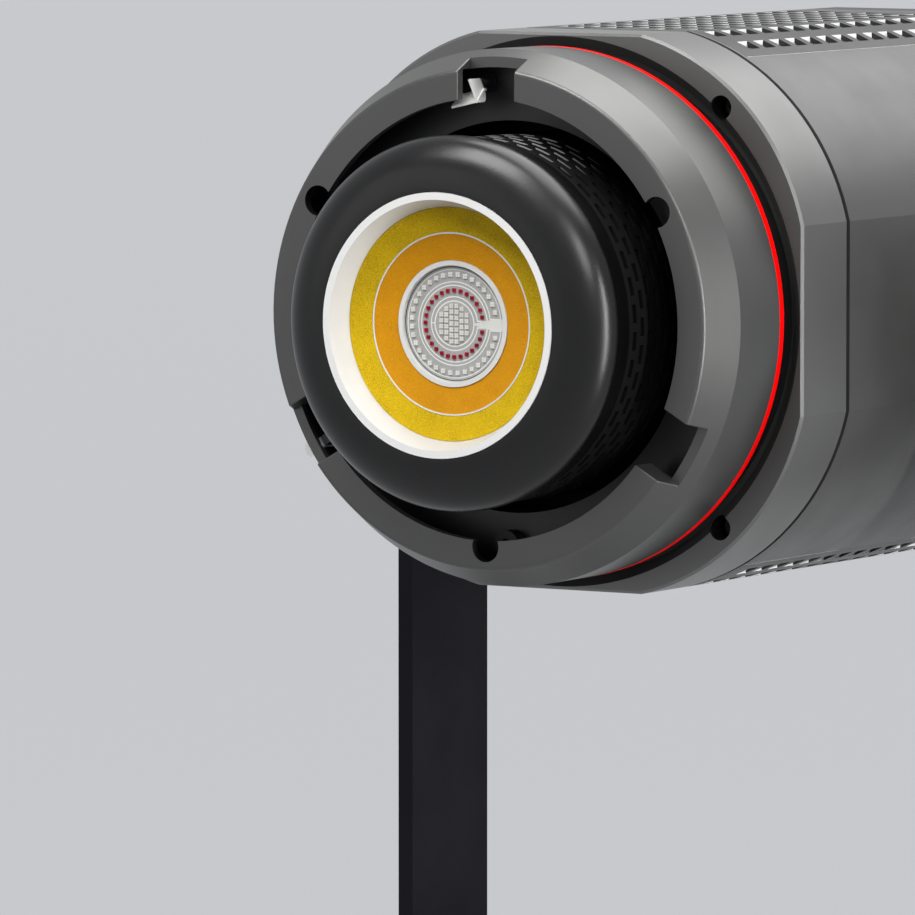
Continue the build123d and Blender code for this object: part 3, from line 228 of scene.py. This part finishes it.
def ring_finish():
    """Anodised metal, with painted shade: black in the lug channel and down in the screw holes."""
    mount_grey = (0.1, 0.1, 0.097)
    frame_grey = (0.145, 0.145, 0.141)
    frame_face_depth = 0.0365
    channel_radius = 0.0654
    channel_shade_start_depth = 0.0074
    channel_shade_full_depth = 0.0088
    access_turns = (30, 150, 270)
    access_circle = 0.059
    access_radius = 0.0042
    access_top_depth = 0.0003
    frame_hole_across = 0.0486
    frame_hole_up = 0.05474
    frame_hole_radius = 0.0034
    frame_hole_top_depth = 0.0378

    finish = Finish("ring_anodising")
    across, depth, up = finish.axes()

    def hole(gap_across, gap_up, hole_radius, top_depth):
        """One down in a hole, where shade is painted, from the gaps between the point and the
        hole's centre.
        """
        return (diagonal(gap_across, gap_up) < hole_radius) * (depth > top_depth)

    # Painted shade: black that deepens down the lug channel and fills the screw holes
    deepening_shade = finish.spread(depth, low=0, high=1, start=channel_shade_start_depth, end=channel_shade_full_depth)
    painted_shade = (diagonal(across, up) < channel_radius) * deepening_shade
    for turn in access_turns:
        gap_across = across - access_circle * math.cos(math.radians(turn))
        gap_up = up - access_circle * math.sin(math.radians(turn))
        access_hole_shade = hole(gap_across, gap_up, access_radius, access_top_depth)
        painted_shade = finish.largest(painted_shade, access_hole_shade)
    gap_across = abs(across) - frame_hole_across
    gap_up = abs(up) - frame_hole_up
    frame_hole_shade = hole(gap_across, gap_up, frame_hole_radius, frame_hole_top_depth)
    painted_shade = finish.largest(painted_shade, frame_hole_shade)
    mount = worn(finish, mount_grey, amount=0.04)
    anodising = finish.blend(depth > frame_face_depth, mount, worn(finish, frame_grey, amount=0.04))
    return blasted_metal(
        finish,
        finish.blend(painted_shade, anodising, BLACK_PAINT_AND_SHADE),
        metallic=finish.spread(painted_shade, low=0.75, high=0, start=0, end=1),
        roughness=(0.36, 0.42),
        relief=0.25,
    )


def louvre_finish():
    """Anodised sheet with vents: their long walls are painted pale as a highlight, their end walls
    painted black as shade.
    """
    sheet_grey = (0.045, 0.045, 0.044)
    painted_highlight_white = (0.92, 0.92, 0.9)

    finish = Finish("louvre_anodising")
    # Painted light: walls facing across are painted pale as lit, walls facing along painted black
    # as shade
    lit_side_wall = abs(finish.facing("X")) > TURNED
    shaded_end_wall = abs(finish.facing("Y")) > TURNED
    skin = worn(finish, sheet_grey, amount=0.06)
    sheet = finish.blend(lit_side_wall, skin, painted_highlight_white)
    painted_walls = finish.largest(lit_side_wall, shaded_end_wall)
    return blasted_metal(
        finish,
        finish.blend(shaded_end_wall, sheet, BLACK_PAINT_AND_SHADE),
        metallic=finish.spread(painted_walls, low=0.55, high=0, start=0, end=1),
        roughness=(0.4, 0.48),
        relief=0.3,
    )


def slider_finish():
    """The release slider: a pale plated dome on a shank that is painted black as shade in the
    channel.
    """
    shank_radius = 0.0645
    dome_radius = 0.0655
    plated_white = (0.85, 0.85, 0.84)

    finish = Finish("slider_plating")
    # Painted shade: below the dome the shank is black
    dome = finish.spread(finish.radius(), low=0, high=1, start=shank_radius, end=dome_radius)
    smear = finish.noise(size=0.004, detail=3)
    plating = worn(finish, plated_white, amount=0.04)
    return finish.shade(
        {
            "Base Color": finish.blend(dome, BLACK_PAINT_AND_SHADE, plating),
            "Metallic": finish.spread(dome, low=0, high=0.3, start=0, end=1),
            "Roughness": finish.spread(smear, low=0.3, high=0.4),
        }
    )


def sleeve_finish():
    """Black paint, with a painted highlight on the outer part of the slots' front-facing walls near
    the top.
    """
    edge_radius = 0.04722
    glint_start_height = 0.038
    glint_full_height = 0.0445
    glint_grey = (0.3, 0.3, 0.3)

    finish = Finish("sleeve_paint")
    _, _, up = finish.axes()
    cut_wall = finish.facing("Y") < -TURNED
    top = finish.spread(up, low=0, high=1, start=glint_start_height, end=glint_full_height)
    # Painted highlight: the outer part of each slot's front-facing wall is painted pale near the
    # top
    painted_glint = cut_wall * (finish.radius() > edge_radius) * top
    grain = finish.noise(size=0.0006, detail=3)
    return finish.shade(
        {
            "Base Color": finish.blend(painted_glint, BLACK_PAINT_AND_SHADE, glint_grey),
            "Specular IOR Level": 0.12,
            "Roughness": finish.spread(grain, low=0.55, high=0.65),
            "Normal": finish.bumps(grain, depth=0.00004, strength=0.3),
        }
    )


def cover_finish():
    """The rear cover's plastic, with pale ticks printed round each dial."""
    dial_across = 0.05
    dial_up = 0.02
    tick_circle = 0.0158
    tick_half_length = 0.0011
    tick_half_width = 0.00025
    tick_step = math.radians(15)
    lowest_tick_share = -0.75
    cover_black = (0.016, 0.016, 0.017)
    tick_grey = (0.6, 0.6, 0.58)

    finish = Finish("cover_moulding")
    across, _, up = finish.axes()
    across = abs(across) - dial_across
    up = up - dial_up
    reach = diagonal(across, up)
    turns = finish.maths("ARCTAN2", across, up) / tick_step
    off_tick = abs(turns - finish.maths("ROUND", turns)) * tick_step * reach
    on_circle = abs(reach - tick_circle) < tick_half_length
    ticks = (off_tick < tick_half_width) * on_circle * (up > reach * lowest_tick_share)
    printed = ticks * (finish.facing("Y") > TURNED)
    texture = finish.noise(size=0.0004, detail=4)
    plain = worn(finish, cover_black, amount=0.1)
    return finish.shade(
        {
            "Base Color": finish.blend(printed, plain, tick_grey),
            "Roughness": finish.spread(texture, low=0.45, high=0.55),
            "Normal": finish.bumps(texture, depth=0.00003, strength=0.4),
        }
    )


def rocker_finish():
    """The power rocker, with a stroke for on and a ring for off."""
    rocker_across = -0.033
    rocker_up = -0.044
    mark_rise = 0.0048
    stroke_half_width = 0.00035
    stroke_half_length = 0.0017
    ring_radius = 0.0015
    ring_half_width = 0.00032
    rocker_black = (0.014, 0.014, 0.015)
    mark_grey = (0.7, 0.7, 0.68)

    finish = Finish("rocker_moulding")
    across, _, up = finish.axes()
    across = across - rocker_across
    up = up - rocker_up
    stroke = (abs(across) < stroke_half_width) * (abs(up - mark_rise) < stroke_half_length)
    ring = abs(diagonal(across, up + mark_rise) - ring_radius) < ring_half_width
    marks = finish.largest(stroke, ring)
    texture = finish.noise(size=0.0004, detail=4)
    plain = worn(finish, rocker_black, amount=0.1)
    return finish.shade(
        {
            "Base Color": finish.blend(marks, plain, mark_grey),
            "Roughness": finish.spread(texture, low=0.3, high=0.4),
            "Normal": finish.bumps(texture, depth=0.00002, strength=0.3),
        }
    )


def display_finish():
    """The lit display: a row of level bars that grow to one side, the last ones unlit."""
    bar_pitch = 0.0032
    bar_half_share = 0.34
    bar_foot_height = 0.014
    middle_bar_height = 0.0075
    bar_growth = 0.0008
    last_bar = 7.5
    last_lit_bar = 3.5
    lit_colour = (0.75, 0.85, 0.9)
    unlit_colour = (0.03, 0.035, 0.04)
    ground_colour = (0.002, 0.0024, 0.003)
    glass_black = (0.005, 0.006, 0.008, 1)

    finish = Finish("display_face")
    across, _, up = finish.axes()
    bars = 0.5 - across / bar_pitch
    number = finish.maths("ROUND", bars)
    solid = (abs(bars - number) < bar_half_share) * (abs(number) < last_bar)
    rise = up - bar_foot_height
    bar = solid * (rise > 0) * (rise < middle_bar_height + number * bar_growth)
    lit = bar * (number < last_lit_bar)
    bar_colour = finish.blend(lit, unlit_colour, lit_colour)
    smear = finish.noise(size=0.01, detail=3)
    return finish.shade(
        {
            "Base Color": glass_black,
            "Roughness": finish.spread(smear, low=0.1, high=0.2),
            "Emission Color": finish.blend(bar, ground_colour, bar_colour),
            "Emission Strength": 1.0,
        }
    )


def accent_finish():
    """Gloss red that throws less red on its neighbours than it shows."""
    shown_red = (0.9, 0.0, 0.0)
    thrown_red = (0.12, 0.0, 0.0)

    finish = Finish("accent_ring_red")
    seen = finish.add("ShaderNodeLightPath", output="Is Camera Ray")
    smear = finish.noise(size=0.01, detail=3)
    red = worn(finish, shown_red, amount=0.04)
    return finish.shade(
        {
            "Base Color": finish.blend(seen, thrown_red, red),
            "Roughness": finish.spread(smear, low=0.46, high=0.54),
            "Specular IOR Level": 0.08,
        }
    )


def spring_finish():
    """Tempered spring strip with a dull, pale surface, painted black as shade down in the channel.
    """
    shade_start_depth = 0.0079
    shade_full_depth = 0.0086
    strip_grey = (0.72, 0.72, 0.7)

    finish = Finish("spring_strip")
    _, depth, _ = finish.axes()
    # Painted shade: the strip turns black below the channel's edge
    channel_shade = finish.spread(depth, low=0, high=1, start=shade_start_depth, end=shade_full_depth)
    lines = finish.noise(size=0.0008, detail=3, stretch=(1, 8, 1))
    pale = worn(finish, strip_grey, amount=0.05, size=0.004)
    return finish.shade(
        {
            "Base Color": finish.blend(channel_shade, pale, BLACK_PAINT_AND_SHADE),
            "Metallic": 0.25,
            "Roughness": finish.spread(lines, low=0.42, high=0.52),
            "Normal": finish.bumps(lines, depth=0.00001, strength=0.2),
        }
    )


def painted(name, colour, roughness, grain_size=0.0006, relief=0.00004, gloss=0.5):
    """Painted metal with a fine orange-peel surface."""
    finish = Finish(name)
    peel = finish.noise(grain_size, detail=3)
    smear = finish.noise(size=0.025, detail=3)
    return finish.shade(
        {
            "Base Color": worn(finish, colour, amount=0.1),
            "Roughness": finish.spread(smear, roughness - 0.06, roughness + 0.06),
            "Normal": finish.bumps(peel, relief, strength=0.4),
            "Specular IOR Level": gloss,
        }
    )


def moulded(name, colour, roughness=0.5):
    """Moulded plastic with a spark-eroded texture."""
    finish = Finish(name)
    texture = finish.noise(size=0.0004, detail=4)
    smear = finish.noise(size=0.02, detail=3)
    return finish.shade(
        {
            "Base Color": worn(finish, colour, amount=0.1),
            "Roughness": finish.spread(smear, roughness - 0.05, roughness + 0.05),
            "Normal": finish.bumps(texture, depth=0.00003, strength=0.4),
        }
    )


def bright_metal(name, colour, roughness=0.28):
    """Bare metal with fine machining lines."""
    finish = Finish(name)
    lines = finish.noise(size=0.0012, detail=3, stretch=(1, 12, 1))
    return finish.shade(
        {
            "Base Color": worn(finish, colour, amount=0.06),
            "Metallic": 1.0,
            "Roughness": finish.spread(lines, roughness - 0.06, roughness + 0.08),
            "Normal": finish.bumps(lines, depth=0.00001, strength=0.25),
        }
    )


def glowing_gel(name, colour, deep_colour):
    """Phosphor in cured gel: a grainy, slightly glossy mustard layer."""
    finish = Finish(name)
    grains = finish.noise(size=0.00025, detail=2)
    clouds = finish.noise(size=0.006, detail=3)
    grain_mix = finish.spread(grains, low=0, high=1, start=0.35, end=0.65)
    grainy = finish.blend(grain_mix, deep_colour, colour)
    lighter = [min(1, channel * 1.12) for channel in colour]
    return finish.shade(
        {
            "Base Color": finish.blend(finish.spread(clouds, low=0, high=0.35), grainy, lighter),
            "Roughness": 0.5,
            "Normal": finish.bumps(grains, depth=0.00004, strength=0.4),
            "Specular IOR Level": 0.15,
        }
    )


def emitter_board_finish():
    """The printed board: grey solder mask, and pale lines round each group of chips."""
    outer_line_half = 0.00015
    red_line_half = 0.00017
    centre_line_half = 0.00019
    centre_line_radius = 0.00585
    link_radius = 0.0064
    link_half_length = 0.0005
    link_half_width = 0.00014
    neck_start = 0.0058
    neck_start_half = 0.0002
    neck_end_half = 0.0015
    neck_taper_share = 0.22
    rim_shade_radius = 0.0147
    rim_shade_half = 0.00012
    mask_greys = ((0.40, 0.40, 0.39), (0.48, 0.48, 0.47))
    shade_grey = (0.06, 0.06, 0.06)
    line_white = (0.88, 0.88, 0.84)
    neck_white = (0.8, 0.8, 0.75)

    finish = Finish("printed_emitter_board")
    across, _, up = finish.axes()
    height = abs(up)
    radius = diagonal(across, height)

    def edge_distance(inner, outer, gap_half):
        """How far a point lies outside an open ring with a gap on its right."""
        beside = finish.largest(radius - outer, inner - radius)
        return finish.largest(beside, finish.maths("MINIMUM", gap_half - height, across))

    outer_ring = edge_distance(inner=0.0108, outer=0.0140, gap_half=0.0015)
    red_ring = edge_distance(inner=0.00695, outer=0.0099, gap_half=0.00085)
    lines = finish.largest(
        abs(outer_ring) < outer_line_half,
        abs(red_ring) < red_line_half,
        abs(radius - centre_line_radius) < centre_line_half,
    )
    on_link = abs(radius - link_radius) < link_half_length
    link = on_link * (height < link_half_width) * (across < 0)
    taper = neck_start_half + (across - neck_start) * neck_taper_share
    in_neck = height < finish.maths("MINIMUM", taper, neck_end_half)
    neck = (across > neck_start) * in_neck * (outer_ring > 0)
    rim_shade = abs(radius - rim_shade_radius) < rim_shade_half
    tint = finish.spread(finish.noise(size=0.0005, detail=3), low=0, high=1)
    colour = finish.blend(tint, *mask_greys)
    colour = finish.blend(rim_shade, colour, shade_grey)
    colour = finish.blend(finish.largest(lines, link), colour, line_white)
    colour = finish.blend(neck, colour, neck_white)
    return finish.shade(
        {
            "Base Color": colour,
            "Roughness": 0.42,
            "Normal": finish.bumps(lines, depth=0.00004, strength=0.3),
        }
    )


def chip_face(finish, across, along, number, colours, line_half):
    """The face of a chip: a tone of its own, crossed by the two lines between its four dice."""
    face_colour, dim_colour, cross_colour = colours
    tone = finish.add("ShaderNodeTexWhiteNoise", {"W": number}, noise_dimensions="1D")
    cross = finish.maths("MINIMUM", abs(across), abs(along)) < line_half
    plain = finish.blend(tone, dim_colour, face_colour)
    return finish.shade(
        {
            "Base Color": finish.blend(cross, plain, cross_colour),
            "Roughness": 0.5,
            "Specular IOR Level": 0.2,
        }
    )


def ring_chip_finish(name, circle, places, shift, colours, line_half):
    """Chips that stand upright on a circle, counted from a share of a step past the right."""
    finish = Finish(name)
    across, _, up = finish.axes()
    step = 2 * math.pi / places
    turns = finish.maths("ARCTAN2", up, across) / step - shift
    number = finish.maths("ROUND", turns)
    angle = (number + shift) * step
    gap_across = across - finish.maths("COSINE", angle) * circle
    gap_up = up - finish.maths("SINE", angle) * circle
    return chip_face(finish, gap_across, gap_up, number, colours, line_half)


def grid_chip_finish(name, pitch, colours, line_half):
    """Chips in columns, of which the two middle columns are half a step out from the others."""
    numbers_per_row = 13

    finish = Finish(name)
    across, _, up = finish.axes()
    columns = across / pitch + 0.5
    rows = up / pitch + 0.5 * (abs(across) > pitch)
    column = finish.maths("ROUND", columns)
    row = finish.maths("ROUND", rows)
    gap_across = (columns - column) * pitch
    gap_up = (rows - row) * pitch
    number = row * numbers_per_row + column
    return chip_face(finish, gap_across, gap_up, number, colours, line_half)


def white_gloss(finish, colour):
    """Ends a finish as moulded white reflector plastic with faint grain."""
    grain = finish.noise(size=0.0003, detail=2)
    return finish.shade(
        {
            "Base Color": colour,
            "Roughness": finish.spread(grain, low=0.36, high=0.46),
            "Normal": finish.bumps(grain, depth=0.00004, strength=0.5),
        }
    )


def divider_finish():
    """The white dam round the emitter board, and the rim between the two glowing rings."""
    rim_white = (0.8, 0.8, 0.78)

    finish = Finish("white_rims")
    return white_gloss(finish, worn(finish, rim_white, amount=0.02, size=0.01))


def cup_finish():
    """The white cup: its forward-facing rim is painted lighter as lit, and its bowl greyer as
    painted shade.
    """
    rim_turned = 0.8
    shaded_bowl_white = (0.62, 0.62, 0.61)
    rim_white = (0.86, 0.86, 0.85)

    finish = Finish("cup_white")
    # Painted light: faces turned to the front take the lighter white, the bowl the greyer
    rim = finish.facing("Y") < -rim_turned
    bowl = worn(finish, shaded_bowl_white, amount=0.02, size=0.01)
    return white_gloss(finish, finish.blend(rim, bowl, rim_white))


def circuit_board_finish():
    """Solder mask with a faint pattern of tracks beneath it."""
    mask = (0.015, 0.1, 0.04)
    over_track = [channel * 1.5 for channel in mask]

    finish = Finish("solder_mask")
    tracks = finish.add(
        "ShaderNodeTexBrick",
        {"Vector": finish.place(), "Scale": 90.0},
        output="Fac",
    )
    return finish.shade(
        {
            "Base Color": finish.blend(tracks, mask, over_track),
            "Roughness": 0.3,
            "Normal": finish.bumps(tracks, depth=0.00003, strength=0.3),
        }
    )


def window_finish():
    """The tinted window over the display."""
    window_tint = (0.02, 0.022, 0.026, 1)

    finish = Finish("tinted_window")
    wipes = finish.noise(size=0.012, detail=3)
    return finish.shade(
        {
            "Base Color": window_tint,
            "Roughness": finish.spread(wipes, low=0.04, high=0.12),
            "Alpha": 0.55,
            "Coat Weight": 0.6,
        }
    )


# Finishes by the record's material slots
finishes = {
    "ring_grey": ring_finish(),
    "shell_grey": shell_finish(),
    "louvre_grey": louvre_finish(),
    "yoke_black": painted(
        "yoke_coat",
        (0.005, 0.0045, 0.008),
        roughness=0.55,
        grain_size=0.0009,
        relief=0.00008,
        gloss=0.1,
    ),
    "cap_black": painted("nose_lacquer", (0.002, 0.002, 0.0022), roughness=0.28, gloss=0.4),
    "black_plastic": moulded("black_moulding", (0.016, 0.016, 0.017)),
    "black_steel": bright_metal("black_oxide_steel", (0.05, 0.05, 0.05), roughness=0.4),
    "bright_steel": bright_metal("bright_steel", (0.62, 0.62, 0.6)),
    "accent_red": accent_finish(),
    "cup_white": cup_finish(),
    "yellow_phosphor": glowing_gel("outer_gel", (0.78, 0.52, 0.008), (0.42, 0.27, 0.004)),
    "orange_phosphor": glowing_gel("inner_gel", (0.74, 0.33, 0.006), (0.56, 0.23, 0.005)),
    "board_white": emitter_board_finish(),
    "chip_pale": ring_chip_finish(
        "outer_chips",
        circle=0.01275,
        places=36,
        shift=0.5,
        colours=PALE_CHIP,
        line_half=0.00005,
    ),
    "chip_red": ring_chip_finish(
        "red_chips",
        circle=0.00863,
        places=28,
        shift=0.0,
        colours=RED_CHIP,
        line_half=0.00006,
    ),
    "divider_white": divider_finish(),
    "raw_aluminium": bright_metal("mill_aluminium", (0.75, 0.75, 0.76), roughness=0.35),
    "copper": bright_metal("heat_pipe_copper", (0.75, 0.36, 0.2), roughness=0.3),
    "circuit_green": circuit_board_finish(),
    "part_grey": moulded("component_bodies", (0.1, 0.1, 0.11)),
    "gasket_rubber": moulded("gasket_rubber", (0.001, 0.001, 0.001), roughness=0.95),
    "screen_dark": display_finish(),
    "window_clear": window_finish(),
}

for row in frame["record"]["subparts"]:
    node = frame["nodes"][row["node"]]
    node.data.materials.clear()
    node.data.materials.append(finishes[row["material_slot"]])

# Pieces whose finish differs from that of their slot
own_finishes = {
    "centre_emitters": grid_chip_finish(
        "centre_chips", pitch=0.00153, colours=PALE_CHIP, line_half=0.00005
    ),
    "vent_sleeve": sleeve_finish(),
    "leaf_spring": spring_finish(),
    "release_slider": slider_finish(),
    "rear_cover": cover_finish(),
    "power_rocker": rocker_finish(),
    # The sink base and the mount screws get black coats that also stand in as painted shade, down
    # in the gap and in the lug channel
    "sink_base": painted("sink_base_shade_black", (0.005, 0.005, 0.005), roughness=0.7),
    "mount_screws": painted("screw_shade_black", (0.005, 0.005, 0.005), roughness=0.6),
}
for name, own_finish in own_finishes.items():
    frame["nodes"][name].data.materials[0] = own_finish

# Stage: a pale floor that reaches the horizon below the light
floor_half = 40.0
floor_level = -0.35
floor_seen_grey = (0.12, 0.12, 0.122)
floor_bounce_grey = (0.2, 0.2, 0.2)
floor_seen_glow = (0.5, 0.51, 0.53)
floor_bounce_glow = (0, 0, 0)
corners = [
    (-floor_half, -floor_half, floor_level),
    (floor_half, -floor_half, floor_level),
    (floor_half, floor_half, floor_level),
    (-floor_half, floor_half, floor_level),
]
sweep_mesh = bpy.data.meshes.new("sweep")
sweep_mesh.from_pydata(corners, [], [(0, 1, 2, 3)])
sweep = bpy.data.objects.new("sweep", sweep_mesh)
bpy.context.collection.objects.link(sweep)
floor_finish = Finish("pale_floor")
seen = floor_finish.backdrop_ray()
cloudy = worn(floor_finish, floor_seen_grey, amount=0.02, size=0.8)
sweep_mesh.materials.append(
    floor_finish.shade(
        {
            "Base Color": floor_finish.blend(seen, floor_bounce_grey, cloudy),
            "Emission Color": floor_finish.blend(seen, floor_bounce_glow, floor_seen_glow),
            "Emission Strength": 1.0,
            "Roughness": 0.85,
        }
    )
)

# World: pale where the backdrop shows, and dim where it lights the object
air = Finish("studio", bpy.data.worlds)
dim_air = air.add("ShaderNodeBackground", {"Color": (0.9, 0.92, 0.95, 1), "Strength": 0.15})
pale_air = air.add("ShaderNodeBackground", {"Color": (0.6, 0.61, 0.63, 1)})
mixed_air = air.add("ShaderNodeMixShader", {0: air.backdrop_ray(), 1: dim_air, 2: pale_air})
air.add("ShaderNodeOutputWorld", {"Surface": mixed_air})
bpy.context.scene.world = air.owner


def toward(azimuth, elevation):
    """The direction from the head to a lamp or the camera, from its angles in degrees."""
    turn = math.radians(azimuth)
    rise = math.radians(elevation)
    level = math.cos(rise)
    return Vector((math.sin(turn) * level, -math.cos(turn) * level, math.sin(rise)))


def soft_lamp(name, azimuth, elevation, distance, width, height, power):
    """A square or strip lamp that faces the head from an angle round it."""
    light = bpy.data.lights.new(name, "AREA")
    light.shape = "RECTANGLE"
    light.size = width
    light.size_y = height
    light.energy = power
    lamp = bpy.data.objects.new(name, light)
    lamp.location = HEAD_CENTRE + toward(azimuth, elevation) * distance
    lamp.rotation_euler = toward(azimuth, elevation).to_track_quat("Z", "Y").to_euler()
    bpy.context.collection.objects.link(lamp)


soft_lamp("top_lamp", azimuth=150, elevation=74, distance=1.4, width=1.4, height=1.1, power=26)
soft_lamp("front_lamp", azimuth=-18, elevation=56, distance=1.6, width=0.8, height=0.8, power=22)
soft_lamp("fill_lamp", azimuth=-35, elevation=12, distance=2.4, width=1.4, height=1.2, power=3)
soft_lamp("right_lamp", azimuth=42, elevation=28, distance=1.8, width=0.5, height=0.5, power=9)
soft_lamp("side_strip", azimuth=76, elevation=-3, distance=1.6, width=0.2, height=1.3, power=22)
soft_lamp("rear_lamp", azimuth=165, elevation=34, distance=1.8, width=1.4, height=0.8, power=8)

# Camera at the photograph's angle, aimed left of and below the middle of the mount's face
camera_azimuth = 31.21
camera_elevation = 4.717
camera_distance = 2.5901
aim_left = 0.0072
aim_below = 0.03559
camera_turn = math.radians(camera_azimuth)
right = Vector((math.cos(camera_turn), math.sin(camera_turn), 0))
forward = -toward(camera_azimuth, camera_elevation)
up = right.cross(forward)
camera_data = bpy.data.cameras.new("camera")
camera_data.sensor_width = 36
camera_data.lens = 393.4
camera_data.clip_end = 200
camera = bpy.data.objects.new("camera", camera_data)
turned = Matrix((right, up, -forward)).transposed().to_4x4()
spot = RING_FACE - aim_left * right - aim_below * up - camera_distance * forward
camera.matrix_world = Matrix.Translation(spot) @ turned
bpy.context.collection.objects.link(camera)
bpy.context.scene.camera = camera

bpy.context.scene.view_settings.view_transform = "Standard"
